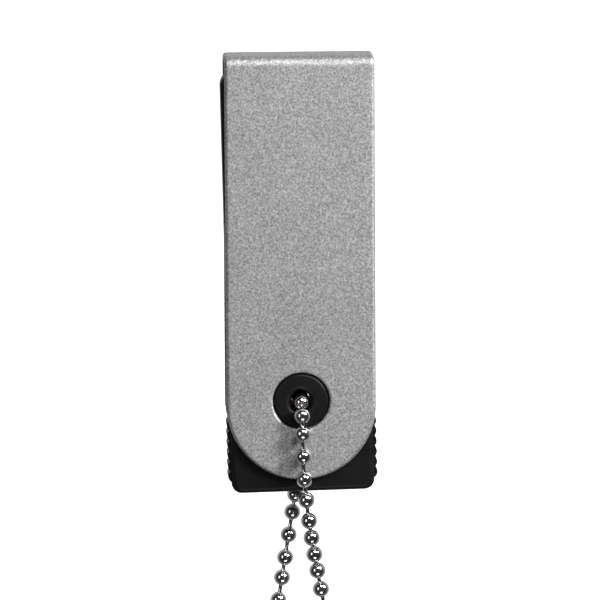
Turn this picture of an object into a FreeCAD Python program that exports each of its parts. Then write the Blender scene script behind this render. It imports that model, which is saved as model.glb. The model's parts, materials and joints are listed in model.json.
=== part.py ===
import FreeCAD, Part
import math
import os
import re
import Sketcher

# A slim USB flash drive: a moulded slab whose upper part is the plug, a folded metal cover that turns
# about the slab's two bosses, and a ball chain through the bosses. Millimetres. +Z is up, towards the
# cover's closed end, -Y is the front, and the origin is on the bosses' axis at mid-thickness.

SIZES = {
    # the slab: plug and grip
    "plug_width": 12.0,
    "tip_height": 27.6,
    "tail_drop": 7.8,
    "plug_length": 12.5,
    "plug_root": 2.0,
    "plug_thickness": 2.3,
    "grip_thickness": 3.3,
    "tip_corner": 1.05,
    "tail_corner": 0.85,
    "grip_edge": 0.5,
    "plug_edge": 0.25,
    # its ribs
    "rib_radius": 0.575,
    "rib_stand": 0.275,
    "rib_pitch": 0.87,
    "rib_foot": 1.45,
    "rib_margin": 0.45,
    # its bosses and the hole for the chain
    "boss_diameter": 4.56,
    "boss_recess": 0.1,
    "boss_edge": 0.2,
    "chain_play": 0.16,
    "throat_step": 0.29,
    "throat_setback": 0.35,
    "chain_mouth": 0.45,
    # its walls
    "side_wall": 0.6,
    "face_wall": 0.45,
    "chain_wall": 0.55,
    # the circuit board and what it carries
    "board_thickness": 0.8,
    "board_start": 4.2,
    "board_clearance": 0.05,
    "contact_thickness": 0.04,
    "contact_width": 1.3,
    "inner_contact": 1.0,
    "outer_contact": 3.5,
    "contact_inset": 1.3,
    "power_contact": 8.0,
    "data_contact": 7.0,
    "memory_width": 9.0,
    "memory_length": 10.6,
    "memory_thickness": 0.75,
    "ball_stand": 0.2,
    "ball_pitch": 1.8,
    "controller_width": 4.6,
    "controller_thickness": 0.9,
    "ball_diameter": 0.5,
    "lead_pitch": 0.65,
    "lead_reach": 0.55,
    "lead_width": 0.28,
    "lead_thickness": 0.15,
    "passive_width": 0.5,
    "passive_length": 1.0,
    "passive_pitch": 1.6,
    "resistor_thickness": 0.35,
    "diode_thickness": 0.4,
    "crystal_width": 2.0,
    "crystal_length": 1.2,
    "crystal_thickness": 0.5,
    "regulator_width": 1.6,
    "regulator_length": 1.3,
    "regulator_thickness": 0.6,
    "ferrite_width": 0.8,
    "ferrite_length": 1.6,
    "ferrite_thickness": 0.6,
    "ferrite_gap": 0.2,
    "column_offset": 3.9,
    "row_offset": 1.75,
    "diode_offset": 0.45,
    "part_gap": 0.6,
    "part_clearance": 0.15,
    # the cover
    "cover_overhang": 0.25,
    "cover_end_gap": 0.44,
    "cover_drop": 0.4,
    "cover_sheet": 0.5,
    "cover_gap": 0.15,
    "cover_bend": 0.8,
    "cover_edge": 0.3,
    "cover_rim": 0.22,
    "swivel_clearance": 0.1,
    "cover_turn": 1.2,
    # the chain and its clasp
    "bead_diameter": 1.4,
    "clasp_play": 0.2,
    "clasp_wall": 0.2,
    "clasp_slot": 0.9,
    "clasp_neck": 0.4,
}

RIB_COUNT = 6
BALL_ROWS = 5
BALL_COLUMNS = 4
LEADS_PER_SIDE = 6
PASSIVES_PER_COLUMN = 4

# Lengths closer than this count as equal, and an arc takes this share of each of its two runs.
TOLERANCE = 1e-4
ARC_SHARE = 0.45

# The chain's route from the clasp's foot round the bottom of the loop, up the front, through the bosses
# and down the back to the clasp's top. It hangs clear of the space that the turning cover sweeps.
CHAIN_ROUTE = [
    (-4.70, 2.60, -38.40),
    (-4.70, 2.60, -41.20),
    (-3.50, 1.90, -43.80),
    (-1.35, 0.60, -45.35),
    (1.30, -0.70, -45.25),
    (3.45, -1.85, -43.70),
    (4.70, -2.65, -41.10),
    (4.65, -3.10, -36.40),
    (3.25, -3.28, -28.00),
    (1.65, -3.24, -18.80),
    (0.42, -3.20, -11.30),
    (-0.02, -3.24, -6.60),
    (-0.05, -3.20, -3.20),
    (0.00, -3.24, -1.12),
    (0.00, -2.22, -0.03),
    (0.00, 0.00, -0.01),
    (0.00, 2.22, -0.03),
    (-0.02, 3.24, -1.12),
    (-0.08, 3.20, -3.30),
    (-0.10, 3.24, -6.80),
    (-0.98, 3.20, -11.20),
    (-2.25, 3.26, -18.40),
    (-3.80, 3.28, -25.60),
    (-4.70, 2.60, -31.20),
    (-4.70, 2.60, -33.60),
]

doc = FreeCAD.newDocument("flash_drive")
sheet = doc.addObject("Spreadsheet::Sheet", "Sizes")
for row, (alias, value) in enumerate(SIZES.items(), 1):
    sheet.set(f"A{row}", alias)
    sheet.set(f"B{row}", str(value))
    sheet.setAlias(f"B{row}", alias)
doc.recompute()


# ---------------------------------------------------------------------------------------- helpers

def formula(text):
    """An expression in the sheet's aliases, such as "plug_width / 2", as the document writes it."""
    return re.sub(r"[a-z_]+", lambda word: "Sizes." + word.group(0) if word.group(0) in SIZES
                  else word.group(0), text)


def size(alias):
    return float(sheet.get(alias))


def bind(item, **properties):
    """Ties properties to cells; place_x, place_y and place_z tie the placement."""
    for name, text in properties.items():
        target = ".Placement.Base." + name[-1] if name.startswith("place_") else name
        item.setExpression(target, formula(text))
    return item


def block(name, x, y, z):
    """A box between three pairs of low and high expressions."""
    box = doc.addObject("Part::Box", name)
    lengths = {key: f"({high}) - ({low})" for key, (low, high) in
               (("Length", x), ("Width", y), ("Height", z))}
    return bind(box, place_x=x[0], place_y=y[0], place_z=z[0], **lengths)


def rod(name, diameter, start, length, along=(0, 1, 0)):
    """A cylinder from a start point given as three expressions."""
    cylinder = doc.addObject("Part::Cylinder", name)
    turn = FreeCAD.Rotation(FreeCAD.Vector(0, 0, 1), FreeCAD.Vector(*along))
    cylinder.Placement = FreeCAD.Placement(FreeCAD.Vector(), turn)
    return bind(cylinder, Radius=f"({diameter}) / 2", Height=length,
                place_x=start[0], place_y=start[1], place_z=start[2])


def joined(name, pieces):
    whole = doc.addObject("Part::MultiFuse", name)
    whole.Shapes = pieces
    return whole


def group(name, pieces):
    """Identical small parts kept as separate solids of one node."""
    together = doc.addObject("Part::Compound", name)
    together.Links = pieces
    return together


def combined(kind, name, base, tool):
    result = doc.addObject(kind, name)
    result.Base = base
    result.Tool = tool
    return result


def cut(name, base, tools):
    return combined("Part::Cut", name, base, tools[0] if len(tools) == 1 else joined(name + "_tools", tools))


def common(name, base, tool):
    return combined("Part::Common", name, base, tool)


def new_body(name):
    return doc.addObject("PartDesign::Body", name)


def new_sketch(body, name, role):
    sketch = body.newObject("Sketcher::SketchObject", name)
    plane = next(item for item in body.Origin.OriginFeatures if item.Role == role)
    sketch.AttachmentSupport = (plane, [""])
    sketch.MapMode = "FlatFace"
    return sketch


def hold(sketch, geometry, corner, u, v):
    """Fixes one point of a sketch at two expressions measured from the origin."""
    for kind, axis, text in (("DistanceX", -2, u), ("DistanceY", -1, v)):
        if text == "0":
            sketch.addConstraint(Sketcher.Constraint("PointOnObject", geometry, corner, axis))
        else:
            number = sketch.addConstraint(Sketcher.Constraint(kind, -1, 1, geometry, corner, 1.0))
            sketch.setExpression(f"Constraints[{number}]", formula(text))


def rectangle(sketch, low_u, high_u, low_v, high_v):
    corners = [(low_u, low_v), (high_u, low_v), (high_u, high_v), (low_u, high_v)]
    guess = [FreeCAD.Vector(*place) for place in ((0, 0, 0), (1, 0, 0), (1, 1, 0), (0, 1, 0))]
    first = sketch.GeometryCount
    for place in range(4):
        sketch.addGeometry(Part.LineSegment(guess[place], guess[(place + 1) % 4]), False)
    for place in range(4):
        following = (place + 1) % 4
        sketch.addConstraint(Sketcher.Constraint("Coincident", first + place, 2, first + following, 1))
        hold(sketch, first + place, 1, *corners[place])


def circle(sketch, u, v, diameter):
    number = sketch.addGeometry(Part.Circle(FreeCAD.Vector(0, 0, 0), FreeCAD.Vector(0, 0, 1), 1.0), False)
    hold(sketch, number, 3, u, v)
    constraint = sketch.addConstraint(Sketcher.Constraint("Diameter", number, 2.0))
    sketch.setExpression(f"Constraints[{constraint}]", formula(diameter))


def pad(body, sketch, name, thickness):
    feature = body.newObject("PartDesign::Pad", name)
    feature.Profile = sketch
    feature.SideType = "Symmetric"
    bind(feature, Length=thickness)
    doc.recompute()
    return feature


def pocket(body, sketch, name, thickness):
    """A symmetric pocket, checked to have removed something."""
    before = body.Shape.Volume
    feature = body.newObject("PartDesign::Pocket", name)
    feature.Profile = sketch
    feature.SideType = "Symmetric"
    bind(feature, Length=thickness)
    doc.recompute()
    if feature.Shape.Volume > before - TOLERANCE:
        raise ValueError(name + " cuts nothing")
    return feature


def fillet(body, name, radius, keep):
    """Rounds the edges of the body's last feature whose bounding box passes the test."""
    last = body.Tip
    edges = [f"Edge{number}" for number, edge in enumerate(last.Shape.Edges, 1) if keep(edge.BoundBox)]
    if not edges:
        raise ValueError(name + " finds no edge")
    feature = body.newObject("PartDesign::Fillet", name)
    feature.Base = (last, edges)
    bind(feature, Radius=radius)
    doc.recompute()
    return feature


def near(one, other):
    return abs(one - other) < TOLERANCE


def across(box, axis):
    """True for an edge that runs along one axis only."""
    spans = {"x": box.XLength, "y": box.YLength, "z": box.ZLength}
    return spans.pop(axis) > TOLERANCE and max(spans.values()) < TOLERANCE


def at_face(box, height):
    """True for an edge that lies in one of the two planes y = height and y = -height."""
    return box.YLength < TOLERANCE and near(abs(box.YMin), height)


def on_outside(box, height, top):
    """True for an edge that reaches the cover's outer faces or its closed end."""
    return near(box.YMax, height) or near(box.YMin, -height) or near(box.ZMax, top)


# ------------------------------------------------------------------- the slab, before it is split

GRIP_TOP = "(tip_height - plug_length)"
HALF_WIDTH = "(plug_width / 2)"
COVER_INSIDE = "(grip_thickness / 2 + cover_gap)"
COVER_OUTSIDE = "(grip_thickness / 2 + cover_gap + cover_sheet)"
BOSS_FACE = "(grip_thickness / 2 + cover_gap + cover_sheet - boss_recess)"
CHAIN_THROAT = "(bead_diameter + chain_play)"
CHAIN_HOLE = "(bead_diameter + chain_play + throat_step)"


def make_plug_form():
    """The plug, rounded all round, with a root inside the grip."""
    form = new_body("plug_form")
    outline = new_sketch(form, "plug_outline", "XZ_Plane")
    rectangle(outline, "-" + HALF_WIDTH, HALF_WIDTH, GRIP_TOP + " - plug_root", "tip_height")
    pad(form, outline, "plug_pad", "plug_thickness")
    fillet(form, "tip_corners", "tip_corner",
           lambda box: across(box, "y") and near(box.ZMin, size("tip_height")))
    face = size("plug_thickness") / 2
    foot = size("tip_height") - size("plug_length") - size("plug_root")
    fillet(form, "plug_edges", "plug_edge",
           lambda box: at_face(box, face) and not near(box.ZMax, foot))
    return form


def make_grip_form():
    """The grip with its ribs, bosses and the chain's hole, which narrows in the middle."""
    slab = new_body("grip_form")
    grip = new_sketch(slab, "grip_outline", "XZ_Plane")
    rectangle(grip, "-" + HALF_WIDTH, HALF_WIDTH, "-tail_drop", GRIP_TOP)
    pad(slab, grip, "grip_pad", "grip_thickness")
    fillet(slab, "tail_corners", "tail_corner",
           lambda box: across(box, "y") and near(box.ZMin, -size("tail_drop")))
    grip_face = size("grip_thickness") / 2
    fillet(slab, "grip_edges", "grip_edge", lambda box: at_face(box, grip_face))

    ribs = new_sketch(slab, "lowest_ribs", "XZ_Plane")
    for side in ("-", ""):
        circle(ribs, f"{side}(plug_width / 2 + rib_stand - rib_radius)", "rib_foot - tail_drop",
               "2 * rib_radius")
    lowest = pad(slab, ribs, "lowest_rib_pad", "grip_thickness - 2 * rib_margin")
    rows = slab.newObject("PartDesign::LinearPattern", "rib_rows")
    rows.Originals = [lowest]
    rows.Direction = (ribs, ["V_Axis"])
    rows.Occurrences = RIB_COUNT
    bind(rows, Length=f"rib_pitch * {RIB_COUNT - 1}")
    slab.Tip = rows
    doc.recompute()

    bosses = new_sketch(slab, "boss_outline", "XZ_Plane")
    circle(bosses, "0", "0", "boss_diameter")
    pad(slab, bosses, "boss_pad", "2 * " + BOSS_FACE)
    hole = new_sketch(slab, "chain_hole_outline", "XZ_Plane")
    circle(hole, "0", "0", CHAIN_HOLE)
    pocket(slab, hole, "chain_hole_cut", "3 * " + BOSS_FACE)
    boss_face = grip_face + size("cover_gap") + size("cover_sheet") - size("boss_recess")
    hole_width = size("bead_diameter") + size("chain_play") + size("throat_step")
    fillet(slab, "chain_mouths", "chain_mouth",
           lambda box: at_face(box, boss_face) and near(box.XLength, hole_width))
    fillet(slab, "boss_rims", "boss_edge",
           lambda box: at_face(box, boss_face) and near(box.XLength, size("boss_diameter")))
    throat = new_sketch(slab, "chain_throat_outline", "XZ_Plane")
    circle(throat, "0", "0", CHAIN_HOLE + " + chain_wall")
    circle(throat, "0", "0", CHAIN_THROAT)
    pad(slab, throat, "chain_throat_collar", f"2 * ({BOSS_FACE} - chain_mouth - throat_setback)")
    return slab


def make_slab():
    return joined("slab_form", [make_grip_form(), make_plug_form()])


# --------------------------------------------------------------- the two housings and the board

BOARD_FRONT = "(-plug_thickness / 2)"
BOARD_BACK = "(board_thickness - plug_thickness / 2)"
PARTS_BACK = "(board_thickness - plug_thickness / 2 + ball_stand + memory_thickness + part_clearance)"
POCKET_X = "(plug_width / 2 - side_wall)"
POCKET_TOP = "(tip_height - side_wall)"


def bay(name, y_low, y_high, z_low, z_high):
    """A hollow between the side walls."""
    return block(name, ("-" + POCKET_X, POCKET_X), (y_low, y_high), (z_low, z_high))


def chain_sleeve(name, y_low, y_high):
    """The wall that a housing keeps around the chain's hole, in its hollow tail."""
    return rod(name, CHAIN_HOLE + " + 2 * chain_wall", ("0", y_low, "0"), f"({y_high}) - ({y_low})")


def make_housings(slab):
    """Both shells: the rear one carries the plug's tray, the front one closes the grip."""
    front_space = block("front_space", ("-plug_width", "plug_width"), ("-plug_width", BOARD_BACK),
                        ("-2 * tail_drop", GRIP_TOP))
    tail_low = "(side_wall - tail_drop)"
    tail_high = "(board_start - side_wall)"
    front_wall = "(face_wall - grip_thickness / 2)"
    rear_wall = "(grip_thickness / 2 - face_wall)"

    front_tail = cut("front_tail_hollow", bay("front_tail_bay", front_wall, BOARD_BACK, tail_low, tail_high),
                     [chain_sleeve("front_chain_sleeve", front_wall, BOARD_BACK)])
    front_bay = bay("front_board_bay", BOARD_FRONT, BOARD_BACK, "board_start", GRIP_TOP)
    cut("front_housing", common("front_half", slab, front_space), [front_tail, front_bay])

    rear_tail = cut("rear_tail_hollow", bay("rear_tail_bay", BOARD_BACK, rear_wall, tail_low, tail_high),
                    [chain_sleeve("rear_chain_sleeve", BOARD_BACK, rear_wall)])
    plug_bay = bay("plug_board_bay", "-plug_thickness", BOARD_BACK, GRIP_TOP, POCKET_TOP)
    ledge = "(plug_width / 2 - 2 * side_wall)"
    parts_bay = block("parts_bay", ("-" + ledge, ledge), (BOARD_BACK, PARTS_BACK),
                      ("board_start + side_wall", "tip_height - 2 * side_wall"))
    cut("rear_housing", cut("rear_half", slab, [front_space]), [rear_tail, plug_bay, parts_bay])


def make_board():
    """The circuit board, flush with the plug's front face and square at its corners."""
    edge = "(plug_width / 2 - side_wall - board_clearance)"
    block("circuit_board", ("-" + edge, edge), (BOARD_FRONT, BOARD_BACK),
          ("board_start + board_clearance", "tip_height - side_wall - board_clearance"))


def make_contacts():
    """Four gold pads on the board's front face; the outer two, for power, reach nearer the tip."""
    pads = {
        "contact_vbus": ("outer_contact", "power_contact"),
        "contact_data_minus": ("inner_contact", "data_contact"),
        "contact_data_plus": ("-inner_contact", "data_contact"),
        "contact_ground": ("-outer_contact", "power_contact"),
    }
    foot = "(tip_height - contact_inset - power_contact)"
    for name, (centre, length) in pads.items():
        block(name, (f"{centre} - contact_width / 2", f"{centre} + contact_width / 2"),
              (BOARD_FRONT + " - contact_thickness", BOARD_FRONT), (foot, f"{foot} + {length}"))


# ------------------------------------------------------------- what the board carries on its back

MEMORY_FOOT = "(tip_height - 2 * side_wall - part_gap - memory_length)"


def chip(name, centre_x, foot_z, width, length, thickness, stand="0"):
    """A flat package on the board's back face, stand away from it."""
    return block(name, (f"{centre_x} - {width} / 2", f"{centre_x} + {width} / 2"),
                 (f"{BOARD_BACK} + {stand}", f"{BOARD_BACK} + {stand} + {thickness}"),
                 (foot_z, f"{foot_z} + {length}"))


def make_memory():
    """The flash memory on its grid of solder balls."""
    chip("memory_chip", "0", MEMORY_FOOT, "memory_width", "memory_length", "memory_thickness", "ball_stand")
    balls = []
    for row in range(BALL_ROWS):
        for column in range(BALL_COLUMNS):
            place_x = f"ball_pitch * ({column} - {(BALL_COLUMNS - 1) / 2})"
            place_z = f"{MEMORY_FOOT} + memory_length / 2 + ball_pitch * ({row} - {(BALL_ROWS - 1) / 2})"
            balls.append(rod(f"ball_{row}_{column}", "ball_diameter", (place_x, BOARD_BACK, place_z),
                             "ball_stand"))
    group("memory_solder_balls", balls)


def make_controller():
    """The USB controller, a square package with leads on four sides."""
    centre_z = f"({MEMORY_FOOT} - part_gap - lead_reach - controller_width / 2)"
    chip("controller_chip", "0", f"{centre_z} - controller_width / 2", "controller_width",
         "controller_width", "controller_thickness")
    leads = []
    near_edge = "(controller_width / 2)"
    far_edge = "(controller_width / 2 + lead_reach)"
    low = BOARD_BACK
    high = BOARD_BACK + " + lead_thickness"
    for lead in range(LEADS_PER_SIDE):
        offset = f"lead_pitch * ({lead} - {(LEADS_PER_SIDE - 1) / 2})"
        span = (offset + " - lead_width / 2", offset + " + lead_width / 2")
        span_z = (f"{centre_z} + {span[0]}", f"{centre_z} + {span[1]}")
        above = (f"{centre_z} + {near_edge}", f"{centre_z} + {far_edge}")
        below = (f"{centre_z} - {far_edge}", f"{centre_z} - {near_edge}")
        leads.append(block(f"lead_top_{lead}", span, (low, high), above))
        leads.append(block(f"lead_bottom_{lead}", span, (low, high), below))
        leads.append(block(f"lead_right_{lead}", (near_edge, far_edge), (low, high), span_z))
        leads.append(block(f"lead_left_{lead}", ("-" + far_edge, "-" + near_edge), (low, high), span_z))
    group("controller_leads", leads)


def make_small_parts():
    """The passives in two columns at the sides, and the crystal, regulator and diodes between them."""
    foot = "(board_start + 2 * side_wall)"
    chip("crystal_oscillator", "row_offset", foot, "crystal_width", "crystal_length",
         "crystal_thickness")
    chip("voltage_regulator", "-row_offset", foot, "regulator_width", "regulator_length",
         "regulator_thickness")
    for name, centre, thickness in (("decoupling_capacitors", "-column_offset", "passive_width"),
                                    ("resistors", "column_offset", "resistor_thickness")):
        group(name, [chip(f"{name}_{number}", centre, f"{foot} + {number} * passive_pitch",
                          "passive_width", "passive_length", thickness)
                     for number in range(PASSIVES_PER_COLUMN)])
    chip("ferrite_bead", "-column_offset", f"{foot} + {PASSIVES_PER_COLUMN} * passive_pitch + ferrite_gap",
         "ferrite_width", "ferrite_length", "ferrite_thickness")
    group("esd_diodes", [chip(f"esd_diode_{side}", centre, foot, "passive_width", "passive_length",
                              "diode_thickness")
                         for side, centre in (("left", "-diode_offset"), ("right", "diode_offset"))])


# -------------------------------------------------------------------------------------- the cover

COVER_WIDTH = "(plug_width + 2 * cover_overhang)"
TIP_REACH = "(sqrt((plug_width / 2 - tip_corner) ^ 2 + (tip_height - tip_corner) ^ 2) + tip_corner)"
COVER_HEIGHT = f"({TIP_REACH} + cover_end_gap + cover_sheet)"


def make_cover():
    """One strip of sheet folded over the closed end, with round free ends and a hole in each leaf."""
    cover = new_body("swivel_cover")
    outside = size("grip_thickness") / 2 + size("cover_gap") + size("cover_sheet")
    inside = outside - size("cover_sheet")
    corner = size("tip_corner")
    tip_reach = math.hypot(size("plug_width") / 2 - corner, size("tip_height") - corner) + corner
    top = tip_reach + size("cover_end_gap") + size("cover_sheet")

    leaf = new_sketch(cover, "leaf_outline", "XZ_Plane")
    rectangle(leaf, f"-{COVER_WIDTH} / 2", f"{COVER_WIDTH} / 2", "-cover_drop", COVER_HEIGHT)
    pad(cover, leaf, "leaf_pad", "2 * " + COVER_OUTSIDE)
    fillet(cover, "outer_bend", "cover_bend",
           lambda box: at_face(box, outside) and near(box.ZMin, top))

    end = new_sketch(cover, "free_end_outline", "XZ_Plane")
    circle(end, "0", "-cover_drop", COVER_WIDTH)
    pad(cover, end, "free_end_pad", "2 * " + COVER_OUTSIDE)

    gap = new_sketch(cover, "gap_outline", "YZ_Plane")
    rectangle(gap, "-" + COVER_INSIDE, COVER_INSIDE, f"-cover_drop - {COVER_WIDTH}",
              COVER_HEIGHT + " - cover_sheet")
    pocket(cover, gap, "gap_cut", f"2 * {COVER_WIDTH}")
    fillet(cover, "inner_bend", "cover_bend - cover_sheet",
           lambda box: across(box, "x") and near(abs(box.YMin), inside) and box.ZMin > 0)

    hole = new_sketch(cover, "boss_hole_outline", "XZ_Plane")
    circle(hole, "0", "0", "boss_diameter + 2 * swivel_clearance")
    pocket(cover, hole, "boss_hole_cut", "3 * " + COVER_OUTSIDE)
    hole_width = size("boss_diameter") + 2 * size("swivel_clearance")
    fillet(cover, "hole_rims", "cover_rim",
           lambda box: at_face(box, outside) and near(box.XLength, hole_width))
    fillet(cover, "outer_edges", "cover_edge",
           lambda box: on_outside(box, outside, top) and not across(box, "x")
           and not (at_face(box, outside) and box.XLength > TOLERANCE and box.ZMax > 0))
    cover.Placement = FreeCAD.Placement(FreeCAD.Vector(), FreeCAD.Rotation(FreeCAD.Vector(0, 1, 0), 0))
    cover.setExpression(".Placement.Rotation.Angle", formula("cover_turn"))
    return cover


# -------------------------------------------------------------------------- the chain's solids

def rounded_route(points):
    """Straight runs joined by arcs, each as large as its two runs allow."""
    points = [FreeCAD.Vector(*point) for point in points]
    edges = []
    start = points[0]
    for before, corner, after in zip(points, points[1:], points[2:]):
        backward = before - corner
        forward = after - corner
        half_turn = (math.pi - backward.getAngle(forward)) / 2
        reach = ARC_SHARE * min(backward.Length, forward.Length)
        radius = reach / math.tan(half_turn)
        backward.normalize()
        forward.normalize()
        enter = corner + backward * reach
        leave = corner + forward * reach
        inward = backward + forward
        inward.normalize()
        middle = corner + inward * (radius / math.cos(half_turn) - radius)
        edges.append(Part.LineSegment(start, enter).toShape())
        edges.append(Part.Arc(enter, middle, leave).toShape())
        start = leave
        print(f"chain arc radius {radius:.2f}, turn {math.degrees(2 * half_turn):.1f}")
    edges.append(Part.LineSegment(start, points[-1]).toShape())
    return Part.Wire(edges)


def make_chain():
    """A plain tube of the beads' diameter along the chain's route."""
    path = rounded_route(CHAIN_ROUTE)
    radius = size("bead_diameter") / 2
    start = FreeCAD.Vector(*CHAIN_ROUTE[0])
    heading = FreeCAD.Vector(*CHAIN_ROUTE[1]) - start
    profile = Part.Wire([Part.Circle(start, heading, radius).toShape()])
    tube = path.makePipeShell([profile], True, False)
    chain = doc.addObject("Part::Feature", "ball_chain")
    chain.Shape = tube
    print(f"chain length {path.Length:.2f}, volume {tube.Volume:.3f},"
          f" section times length {math.pi * radius ** 2 * path.Length:.3f}")


CLASP_HOLLOW = "(bead_diameter + clasp_play)"
CLASP_DIAMETER = "(bead_diameter + clasp_play + 2 * clasp_wall)"


def make_clasp():
    """The coupling between the chain's two ends: a thin barrel, slotted so that the end beads snap in."""
    centre_x, centre_y, foot = CHAIN_ROUTE[0]
    head = CHAIN_ROUTE[-1][2]
    start = (str(centre_x), str(centre_y), str(foot))
    barrel = rod("clasp_barrel", CLASP_DIAMETER, start, str(head - foot), (0, 0, 1))
    hollow_start = (start[0], start[1], f"{foot} + clasp_wall")
    hollow = rod("clasp_hollow", CLASP_HOLLOW, hollow_start,
                 f"{head - foot} - 2 * clasp_wall", (0, 0, 1))
    slot_y = (f"{centre_y} - {CLASP_DIAMETER}", start[1])
    neck = block("clasp_neck_cut", (f"{centre_x} - clasp_neck / 2", f"{centre_x} + clasp_neck / 2"), slot_y,
                 (f"{foot} - clasp_wall", f"{head} + clasp_wall"))
    slot = block("clasp_slot_cut", (f"{centre_x} - clasp_slot / 2", f"{centre_x} + clasp_slot / 2"), slot_y,
                 (f"{foot} + 3 * clasp_wall", f"{head} - 3 * clasp_wall"))
    cut("chain_clasp", barrel, [hollow, neck, slot])


# ----------------------------------------------------------------------------- build and write

NODES = [
    "front_housing", "rear_housing", "circuit_board",
    "contact_vbus", "contact_data_minus", "contact_data_plus", "contact_ground",
    "memory_chip", "memory_solder_balls", "controller_chip", "controller_leads",
    "crystal_oscillator", "voltage_regulator", "decoupling_capacitors", "resistors", "esd_diodes",
    "ferrite_bead",
    "swivel_cover", "ball_chain", "chain_clasp",
]


def write_parts():
    doc.recompute()
    for item in doc.Objects:
        if "Invalid" in item.State or "Error" in item.State:
            raise ValueError(f"{item.Label} failed: {item.State}")
    os.makedirs("parts", exist_ok=True)
    for name in NODES:
        shape = doc.getObject(name).Shape
        if shape.isNull() or not shape.isValid():
            raise ValueError(name + " has no valid shape")
        shape.exportStep(f"parts/{name}.step")
        print(f"{name}: {len(shape.Solids)} solids, {shape.Volume:.3f} cubic mm")


make_housings(make_slab())
make_board()
make_contacts()
make_memory()
make_controller()
make_small_parts()
make_cover()
make_chain()
make_clasp()
write_parts()
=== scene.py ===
import bmesh
import bpy
import json
import math
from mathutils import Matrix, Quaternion, Vector


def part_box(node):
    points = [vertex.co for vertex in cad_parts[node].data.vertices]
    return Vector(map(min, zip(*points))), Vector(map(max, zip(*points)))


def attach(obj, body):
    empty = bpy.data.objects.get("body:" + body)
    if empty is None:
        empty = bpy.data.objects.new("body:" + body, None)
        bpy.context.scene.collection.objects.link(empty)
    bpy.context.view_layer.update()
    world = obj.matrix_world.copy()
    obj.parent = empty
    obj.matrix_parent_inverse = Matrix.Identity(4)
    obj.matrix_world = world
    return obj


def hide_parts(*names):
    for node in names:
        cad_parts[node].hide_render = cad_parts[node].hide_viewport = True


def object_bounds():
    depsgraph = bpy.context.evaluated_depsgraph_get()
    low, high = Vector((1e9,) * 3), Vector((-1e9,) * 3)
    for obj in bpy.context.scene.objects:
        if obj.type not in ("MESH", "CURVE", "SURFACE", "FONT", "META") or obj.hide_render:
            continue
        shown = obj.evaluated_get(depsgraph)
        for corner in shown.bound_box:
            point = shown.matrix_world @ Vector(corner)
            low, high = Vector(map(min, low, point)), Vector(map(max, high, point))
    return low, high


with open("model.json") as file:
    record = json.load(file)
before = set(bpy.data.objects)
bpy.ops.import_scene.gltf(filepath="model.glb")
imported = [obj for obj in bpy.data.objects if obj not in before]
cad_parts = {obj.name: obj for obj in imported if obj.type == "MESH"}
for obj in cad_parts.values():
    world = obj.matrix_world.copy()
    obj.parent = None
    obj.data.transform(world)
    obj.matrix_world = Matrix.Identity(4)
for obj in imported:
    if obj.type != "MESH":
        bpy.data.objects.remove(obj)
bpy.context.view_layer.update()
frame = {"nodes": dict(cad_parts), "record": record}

# A slim USB flash drive, upright, with a swivelling blasted-metal cover and a ball chain hanging below.
# The frame is the CAD model's: metres, +Z up, the front towards -Y, the origin on the bosses' axis.

MM = 0.001

BEAD_RADIUS = 0.70 * MM
LINK_RADIUS = 0.17 * MM
BEAD_SEGMENTS = 32
LINK_SEGMENTS = 16

# Noise keeps mostly between these two values.
NOISE_LOW = 0.3
NOISE_HIGH = 0.7

STAGE_RADIUS = 2.2
STAGE_LEVEL = 0.93
STAGE_GLOW = 1.12
FLOOR_GAP = 1.0 * MM

# The surroundings' brightness from front to back: place along the way (0 to 1), grey level.
WORLD_STOPS = [(0.42, 0.06), (0.60, 0.34), (0.80, 1.0)]
WORLD_STRENGTH = 0.6

# The soft lights: name, place and size in metres, power in watts.
LIGHTS = [
    ("key_right", (0.158, -0.117, 0.111), (0.056, 0.060), 0.84),
    ("top_front", (0.12, -0.56, 0.58), (0.30, 0.20), 3.0),
    ("fill_left", (-0.55, -0.62, 0.16), (0.20, 0.40), 0.8),
    ("low_front", (0.06, -0.50, -0.50), (0.34, 0.20), 0.9),
]
LIGHT_TARGET = (0.0, 0.0, 0.008)

# The chain's route, in millimetres: from the clasp's foot round the bottom of the loop, up the front,
# through the bosses, and down the back to the clasp's top.
CHAIN_ROUTE = [
    (-4.70, 2.60, -38.40),
    (-4.70, 2.60, -41.20),
    (-3.50, 1.90, -43.80),
    (-1.35, 0.60, -45.35),
    (1.30, -0.70, -45.25),
    (3.45, -1.85, -43.70),
    (4.70, -2.65, -41.10),
    (4.65, -3.10, -36.40),
    (3.25, -3.28, -28.00),
    (1.65, -3.24, -18.80),
    (0.42, -3.20, -11.30),
    (-0.02, -3.24, -6.60),
    (-0.05, -3.20, -3.20),
    (0.00, -3.24, -1.12),
    (0.00, -2.22, -0.03),
    (0.00, 0.00, -0.01),
    (0.00, 2.22, -0.03),
    (-0.02, 3.24, -1.12),
    (-0.08, 3.20, -3.30),
    (-0.10, 3.24, -6.80),
    (-0.98, 3.20, -11.20),
    (-2.25, 3.26, -18.40),
    (-3.80, 3.28, -25.60),
    (-4.70, 2.60, -31.20),
    (-4.70, 2.60, -33.60),
]

# The beads' pitch. Near the bosses the links slide into the beads, so most of the first beads of each
# strand stand closer than the rest. Spacings, in millimetres, run outwards from the bosses' front mouth.
FULL_PITCH = 1.95 * MM
FRONT_SPACINGS = [1.50, 1.52, 1.93, 1.93, 1.78, 1.78, 1.46, 1.42, 1.40, 1.60]
BACK_SPACINGS = [1.55, 1.60, 1.50, 1.60, 1.75, 1.75, 1.75, 1.75, 1.52, 1.97, 1.98, 1.75]
FRONT_MOUTH = (0.0, -1.95, -0.25)


# ------------------------------------------------------------------------------------ the camera

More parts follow.
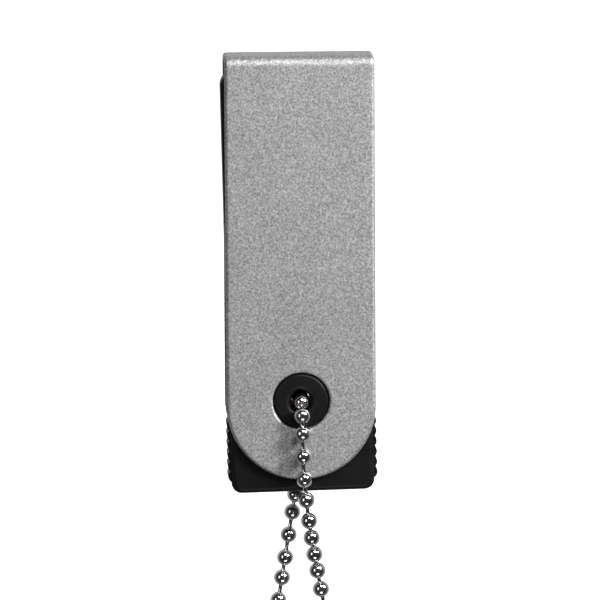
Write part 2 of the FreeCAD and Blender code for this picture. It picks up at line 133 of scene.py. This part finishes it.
def make_camera():
    """Looks at the drive from a little above and to the left, through a long lens, slightly rolled."""
    azimuth = math.radians(-2.5)
    elevation = math.radians(8.5)
    roll = math.radians(-1.55)
    distance = 0.6
    target = Vector((0.105, -2.3, 8.57)) * MM
    back = Vector((math.sin(azimuth) * math.cos(elevation), -math.cos(azimuth) * math.cos(elevation),
                   math.sin(elevation)))
    data = bpy.data.cameras.new("camera")
    data.sensor_width = 36.0
    data.lens = 431.5
    data.clip_start = 0.01
    data.clip_end = 20.0
    camera = bpy.data.objects.new("camera", data)
    bpy.context.scene.collection.objects.link(camera)
    camera.location = target + back * distance
    camera.rotation_mode = "QUATERNION"
    camera.rotation_quaternion = (-back).to_track_quat("-Z", "Y") @ Quaternion((0, 0, 1), roll)
    bpy.context.scene.camera = camera


# --------------------------------------------------------------------------------- material nodes

class Nodes:
    """A short way to write one material's nodes."""

    def __init__(self, name, **settings):
        self.material = bpy.data.materials.new(name)
        self.material.use_nodes = True
        self.tree = self.material.node_tree
        self.shader = self.tree.nodes["Principled BSDF"]
        self.set(self.shader, **settings)
        self.place = self.add("ShaderNodeTexCoord").outputs["Object"]

    def add(self, kind, **settings):
        node = self.tree.nodes.new(kind)
        return self.set(node, **settings)

    def set(self, node, **settings):
        for name, value in settings.items():
            socket = node.inputs.get(name.replace("_", " "))
            if socket is not None:
                socket.default_value = value
            else:
                setattr(node, name, value)
        return node

    def link(self, start, end):
        self.tree.links.new(start, end)

    def noise(self, scale, detail=2.0, roughness=0.5, stretch=None, turned=None):
        """Noise in the object's own space, its scale in features per metre."""
        node = self.add("ShaderNodeTexNoise", Scale=scale, Detail=detail, Roughness=roughness)
        if stretch or turned:
            mapping = self.add("ShaderNodeMapping", Scale=stretch or (1.0, 1.0, 1.0),
                               Rotation=turned or (0.0, 0.0, 0.0))
            self.link(self.place, mapping.inputs["Vector"])
            self.link(mapping.outputs["Vector"], node.inputs["Vector"])
        else:
            self.link(self.place, node.inputs["Vector"])
        return node.outputs["Fac"]

    def ramp(self, value, stops):
        node = self.add("ShaderNodeValToRGB")
        elements = node.color_ramp.elements
        while len(elements) < len(stops):
            elements.new(0.5)
        for element, (position, colour) in zip(elements, stops):
            element.position = position
            element.color = (*colour, 1.0)
        self.link(value, node.inputs["Fac"])
        return node.outputs["Color"]

    def two_tone(self, noise, dark, light):
        return self.ramp(noise, [(NOISE_LOW, dark), (NOISE_HIGH, light)])

    def spread(self, noise, low, high):
        """A number that goes from low to high as the noise does."""
        node = self.add("ShaderNodeMapRange")
        node.inputs["From Min"].default_value = NOISE_LOW
        node.inputs["From Max"].default_value = NOISE_HIGH
        node.inputs["To Min"].default_value = low
        node.inputs["To Max"].default_value = high
        self.link(noise, node.inputs["Value"])
        return node.outputs["Result"]

    def multiply(self, first, second):
        node = self.add("ShaderNodeMix", data_type="RGBA", blend_type="MULTIPLY")
        node.inputs["Factor"].default_value = 1.0
        self.link(first, node.inputs["A"])
        self.link(second, node.inputs["B"])
        return node.outputs["Result"]

    def bump(self, height, distance, strength):
        node = self.add("ShaderNodeBump", Strength=strength, Distance=distance)
        self.link(height, node.inputs["Height"])
        self.link(node.outputs["Normal"], self.shader.inputs["Normal"])


def grey(level):
    return (level, level, level)


def blasted_metal():
    """Bead-blasted sheet: irregular blotches about 0.16 mm across over slow tonal clouds."""
    nodes = Nodes("blasted_metal", Metallic=1.0)
    pits = nodes.noise(6200, detail=2.2, roughness=0.55, turned=(0.62, 0.47, 0.81))
    drift = nodes.noise(2300, detail=2.0, turned=(0.31, 0.95, 0.52))
    clouds = nodes.noise(190, detail=2.0)
    speckle = nodes.ramp(pits, [(0.30, grey(0.26)), (0.50, grey(0.45)), (0.70, grey(0.68))])
    blotch = nodes.ramp(drift, [(0.35, grey(0.86)), (0.65, grey(1.0))])
    shade = nodes.two_tone(clouds, grey(0.93), grey(1.0))
    mottled = nodes.multiply(speckle, blotch)
    nodes.link(nodes.multiply(mottled, shade), nodes.shader.inputs["Base Color"])
    nodes.link(nodes.spread(pits, 0.68, 0.58), nodes.shader.inputs["Roughness"])
    nodes.bump(pits, distance=0.010 * MM, strength=0.45)
    return nodes.material


def black_plastic():
    """Moulded black plastic with a satin skin."""
    nodes = Nodes("black_plastic", Specular_IOR_Level=0.16)
    skin = nodes.noise(9000, detail=2.0)
    flow = nodes.noise(300, detail=2.0)
    nodes.link(nodes.two_tone(flow, (0.0050, 0.0050, 0.0055), (0.0075, 0.0075, 0.0081)),
               nodes.shader.inputs["Base Color"])
    nodes.link(nodes.spread(skin, 0.34, 0.48), nodes.shader.inputs["Roughness"])
    nodes.bump(skin, distance=0.004 * MM, strength=0.5)
    return nodes.material


def nickel():
    """Polished nickel plate, faintly uneven."""
    nodes = Nodes("nickel_plate", Metallic=1.0)
    wear = nodes.noise(1400, detail=3.0)
    nodes.link(nodes.two_tone(wear, (0.66, 0.63, 0.65), (0.80, 0.77, 0.79)),
               nodes.shader.inputs["Base Color"])
    nodes.link(nodes.spread(wear, 0.10, 0.17), nodes.shader.inputs["Roughness"])
    return nodes.material


def gold():
    """Gold plate with a fine upright rub."""
    nodes = Nodes("gold_plate", Metallic=1.0)
    rub = nodes.noise(3400, detail=2.0, stretch=(1.0, 1.0, 0.25))
    nodes.link(nodes.two_tone(rub, (0.96, 0.71, 0.31), (1.0, 0.79, 0.40)),
               nodes.shader.inputs["Base Color"])
    nodes.link(nodes.spread(rub, 0.42, 0.52), nodes.shader.inputs["Roughness"])
    nodes.bump(rub, distance=0.0015 * MM, strength=0.25)
    return nodes.material


def solder_mask():
    """Green mask over a glass-cloth board: the cloth's weave shows faintly."""
    nodes = Nodes("solder_mask", Roughness=0.28, Coat_Weight=0.3)
    wave = nodes.add("ShaderNodeTexWave", Scale=900.0, Distortion=0.6)
    nodes.link(nodes.place, wave.inputs["Vector"])
    weave = wave.outputs["Color"]
    greens = [(0.2, (0.006, 0.040, 0.022)), (0.8, (0.010, 0.058, 0.030))]
    nodes.link(nodes.ramp(weave, greens), nodes.shader.inputs["Base Color"])
    nodes.bump(weave, distance=0.004 * MM, strength=0.3)
    return nodes.material


def speckled(name, dark, light, scale, rough, metallic=0.0):
    """A plain fine-grained finish between two colours: resin, ceramic, ferrite, tin."""
    nodes = Nodes(name, Metallic=metallic)
    grain = nodes.noise(scale, detail=3.0)
    nodes.link(nodes.two_tone(grain, dark, light), nodes.shader.inputs["Base Color"])
    nodes.link(nodes.spread(grain, rough[0], rough[1]), nodes.shader.inputs["Roughness"])
    nodes.bump(grain, distance=0.004 * MM, strength=0.4)
    return nodes.material


def give_materials():
    """One finish per material slot of the record, on every CAD node of that slot."""
    # speckled: name, dark tone, light tone, grains per metre, roughness from and to
    finishes = {
        "blasted_metal": blasted_metal(),
        "black_plastic": black_plastic(),
        "nickel_chain": nickel(),
        "gold_contact": gold(),
        "solder_mask": solder_mask(),
        "chip_resin": speckled("chip_resin", grey(0.020), grey(0.034), 7000, (0.42, 0.58)),
        "resistor_glaze": speckled("resistor_glaze", grey(0.020), grey(0.030), 5000, (0.18, 0.30)),
        "capacitor_ceramic": speckled("capacitor_ceramic", (0.36, 0.23, 0.13), (0.47, 0.31, 0.19), 6000,
                                      (0.30, 0.42)),
        "ferrite": speckled("ferrite", grey(0.06), grey(0.10), 6000, (0.40, 0.55)),
        "solder": speckled("tinned_metal", grey(0.58), grey(0.70), 6000, (0.22, 0.38), metallic=1.0),
        "crystal_can": speckled("crystal_can", grey(0.52), grey(0.64), 5000, (0.25, 0.38), metallic=1.0),
    }
    for part in frame["record"]["subparts"]:
        mesh = frame["nodes"][part["node"]].data
        finish = finishes[part["material_slot"]]
        if mesh.materials:
            for index in range(len(mesh.materials)):
                mesh.materials[index] = finish
        else:
            mesh.materials.append(finish)
    return finishes


# -------------------------------------------------------------------------------------- the chain

def chain_line():
    """The chain's centre line, read from a NURBS spline through the route's control points."""
    curve = bpy.data.curves.new("chain_route", "CURVE")
    curve.dimensions = "3D"
    curve.resolution_u = 24
    spline = curve.splines.new("NURBS")
    spline.points.add(len(CHAIN_ROUTE) - 1)
    for point, place in zip(spline.points, CHAIN_ROUTE):
        point.co = (*(Vector(place) * MM), 1.0)
    spline.order_u = 3
    spline.use_endpoint_u = True
    holder = bpy.data.objects.new("chain_route", curve)
    bpy.context.scene.collection.objects.link(holder)
    bpy.context.view_layer.update()
    mesh = bpy.data.meshes.new_from_object(holder)
    line = [vertex.co.copy() for vertex in mesh.vertices]
    bpy.data.objects.remove(holder)
    bpy.data.meshes.remove(mesh)
    return line


class Track:
    """A line that can be asked for the point and direction at a distance along it."""

    def __init__(self, line):
        self.line = line
        self.reach = [0.0]
        for before, after in zip(line, line[1:]):
            self.reach.append(self.reach[-1] + (after - before).length)
        self.length = self.reach[-1]

    def at(self, distance):
        distance = min(max(distance, 0.0), self.length)
        place = next(i for i in range(1, len(self.reach)) if self.reach[i] >= distance)
        step = self.reach[place] - self.reach[place - 1]
        share = (distance - self.reach[place - 1]) / step if step else 0.0
        return self.line[place - 1].lerp(self.line[place], share)

    def nearest(self, point):
        best = min(range(len(self.line)), key=lambda i: (self.line[i] - point).length)
        return self.reach[best]


def bead_places(track):
    """Distances of the beads along the track, walked outwards from the bosses' front mouth."""
    mouth = track.nearest(Vector(FRONT_MOUTH) * MM)
    margin = 0.9 * BEAD_RADIUS
    places = [mouth]
    for direction, spacings in ((-1, FRONT_SPACINGS), (1, BACK_SPACINGS)):
        steps = [spacing * MM for spacing in spacings]
        place = mouth
        while True:
            place += direction * (steps.pop(0) if steps else FULL_PITCH)
            if not margin < place < track.length - margin:
                break
            places.append(place)
    return sorted(places)


def lathe(mesh, profile, start, axis, segments):
    """Turns (along, radius) pairs about an axis through start and adds the closed form to a mesh."""
    turn = axis.to_track_quat("Z", "X")
    rings = []
    for along, radius in profile:
        if radius == 0.0:
            rings.append([mesh.verts.new(start + axis * along)])
            continue
        ring = []
        for step in range(segments):
            angle = 2 * math.pi * step / segments
            offset = turn @ Vector((radius * math.cos(angle), radius * math.sin(angle), along))
            ring.append(mesh.verts.new(start + offset))
        rings.append(ring)
    for low, high in zip(rings, rings[1:]):
        for step in range(segments):
            following = (step + 1) % segments
            if len(low) == 1:
                mesh.faces.new((low[0], high[following], high[step]))
            elif len(high) == 1:
                mesh.faces.new((low[step], low[following], high[0]))
            else:
                mesh.faces.new((low[step], low[following], high[following], high[step]))


def bead_profile():
    """A hollow ball seen from outside: round, with a small rolled lip at each pole."""
    lip = 0.30 * MM
    well = 0.10 * MM
    start = math.acos(lip / BEAD_RADIUS)
    rows = 18
    floor = BEAD_RADIUS * math.sin(start) - well
    floor_radius = lip * 0.8
    profile = [(-floor, 0.0), (-floor, floor_radius)]
    for row in range(rows + 1):
        angle = -start + 2 * start * row / rows
        profile.append((BEAD_RADIUS * math.sin(angle), BEAD_RADIUS * math.cos(angle)))
    profile += [(floor, floor_radius), (floor, 0.0)]
    return profile


def link_profile(length):
    """A wire between two beads, waisted in the middle, with its ends inside the beads."""
    rows = 8
    flare = 0.09 * MM
    profile = [(0.0, 0.0)]
    for row in range(rows + 1):
        share = 2.0 * row / rows - 1.0
        profile.append((length * row / rows, LINK_RADIUS + flare * share * share))
    profile.append((length, 0.0))
    return profile


def piece_from(name, mesh, finish):
    bmesh.ops.recalc_face_normals(mesh, faces=mesh.faces)
    data = bpy.data.meshes.new(name)
    mesh.to_mesh(data)
    mesh.free()
    for polygon in data.polygons:
        polygon.use_smooth = True
    data.materials.append(finish)
    piece = bpy.data.objects.new(name, data)
    bpy.context.scene.collection.objects.link(piece)
    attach(piece, "drive")
    return piece


def make_chain(finish):
    """Beads and wire links along the chain's line, and the two end beads inside the clasp."""
    track = Track(chain_line())
    places = bead_places(track)
    beads = bmesh.new()
    for place in places:
        axis = (track.at(place + BEAD_RADIUS / 2) - track.at(place - BEAD_RADIUS / 2)).normalized()
        lathe(beads, bead_profile(), track.at(place), axis, BEAD_SEGMENTS)
    links = bmesh.new()
    stops = [0.0] + places + [track.length]
    sink = 0.55 * BEAD_RADIUS
    for before, after in zip(stops, stops[1:]):
        start = track.at(before)
        end = track.at(after)
        axis = (end - start).normalized()
        first = start + axis * (sink if before > 0.0 else -sink)
        last = end - axis * (sink if after < track.length else -sink)
        lathe(links, link_profile((last - first).length), first, axis, LINK_SEGMENTS)
    chain_beads = piece_from("chain_beads", beads, finish)
    chain_links = piece_from("chain_links", links, finish)
    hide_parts("ball_chain")
    clasp_beads = make_clasp_beads(finish)


def make_clasp_beads(finish):
    """The chain's two end beads, snapped into the clasp."""
    low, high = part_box("chain_clasp")
    middle = (low + high) / 2
    up = Vector((0.0, 0.0, 1.0))
    inset = 1.05 * MM
    beads = bmesh.new()
    for height in (low.z + inset, high.z - inset):
        lathe(beads, bead_profile(), Vector((middle.x, middle.y, height)), up, BEAD_SEGMENTS)
    return piece_from("clasp_beads", beads, finish)


# ------------------------------------------------------------------------------------- the studio

def plain_glow(name, colour, strength):
    material = bpy.data.materials.new(name)
    material.use_nodes = True
    shader = material.node_tree.nodes["Principled BSDF"]
    shader.inputs["Base Color"].default_value = (*colour, 1.0)
    shader.inputs["Roughness"].default_value = 0.9
    shader.inputs["Emission Color"].default_value = (*colour, 1.0)
    shader.inputs["Emission Strength"].default_value = strength
    return material


def make_floor():
    """A pale floor below the chain, and a pale sphere round everything as the far wall."""
    floor_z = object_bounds()[0].z - FLOOR_GAP
    floor_mesh = bmesh.new()
    bmesh.ops.create_circle(floor_mesh, cap_ends=True, segments=96, radius=STAGE_RADIUS)
    wall_mesh = bmesh.new()
    bmesh.ops.create_uvsphere(wall_mesh, u_segments=48, v_segments=24, radius=STAGE_RADIUS)
    for name, mesh, height in (("floor", floor_mesh, floor_z), ("backdrop", wall_mesh, 0.0)):
        data = bpy.data.meshes.new(name)
        mesh.to_mesh(data)
        mesh.free()
        stage_piece = bpy.data.objects.new(name, data)
        stage_piece.location.z = height
        data.materials.append(plain_glow(name, grey(STAGE_LEVEL), STAGE_GLOW))
        stage_piece.visible_diffuse = False
        stage_piece.visible_glossy = False
        stage_piece.visible_shadow = False
        bpy.context.scene.collection.objects.link(stage_piece)


def softbox(name, place, size, power):
    data = bpy.data.lights.new(name, "AREA")
    data.shape = "RECTANGLE"
    data.size = size[0]
    data.size_y = size[1]
    data.energy = power
    lamp = bpy.data.objects.new(name, data)
    lamp.location = place
    lamp.rotation_mode = "QUATERNION"
    lamp.rotation_quaternion = (Vector(LIGHT_TARGET) - Vector(place)).to_track_quat("-Z", "Y")
    lamp.visible_camera = False
    bpy.context.scene.collection.objects.link(lamp)


def make_world():
    """Bright behind the drive and dark in front of it, so that polished beads show dark middles."""
    world = bpy.data.worlds.new("studio")
    world.use_nodes = True
    tree = world.node_tree
    place = tree.nodes.new("ShaderNodeTexCoord")
    split = tree.nodes.new("ShaderNodeSeparateXYZ")
    depth = tree.nodes.new("ShaderNodeMapRange")
    depth.inputs["From Min"].default_value = -1.0
    shade = tree.nodes.new("ShaderNodeValToRGB")
    shade.color_ramp.elements.new(0.5)
    for element, (position, level) in zip(shade.color_ramp.elements, WORLD_STOPS):
        element.position = position
        element.color = (level, level, level, 1.0)
    tree.links.new(place.outputs["Generated"], split.inputs["Vector"])
    tree.links.new(split.outputs["Y"], depth.inputs["Value"])
    tree.links.new(depth.outputs["Result"], shade.inputs["Fac"])
    tree.links.new(shade.outputs["Color"], tree.nodes["Background"].inputs["Color"])
    tree.nodes["Background"].inputs["Strength"].default_value = WORLD_STRENGTH
    bpy.context.scene.world = world


def make_lights():
    for light in LIGHTS:
        softbox(*light)
    bpy.context.scene.view_settings.view_transform = "Standard"


# ------------------------------------------------------------------------------------ the finish


make_camera()
FINISHES = give_materials()
make_chain(FINISHES["nickel_chain"])
make_floor()
make_world()
make_lights()
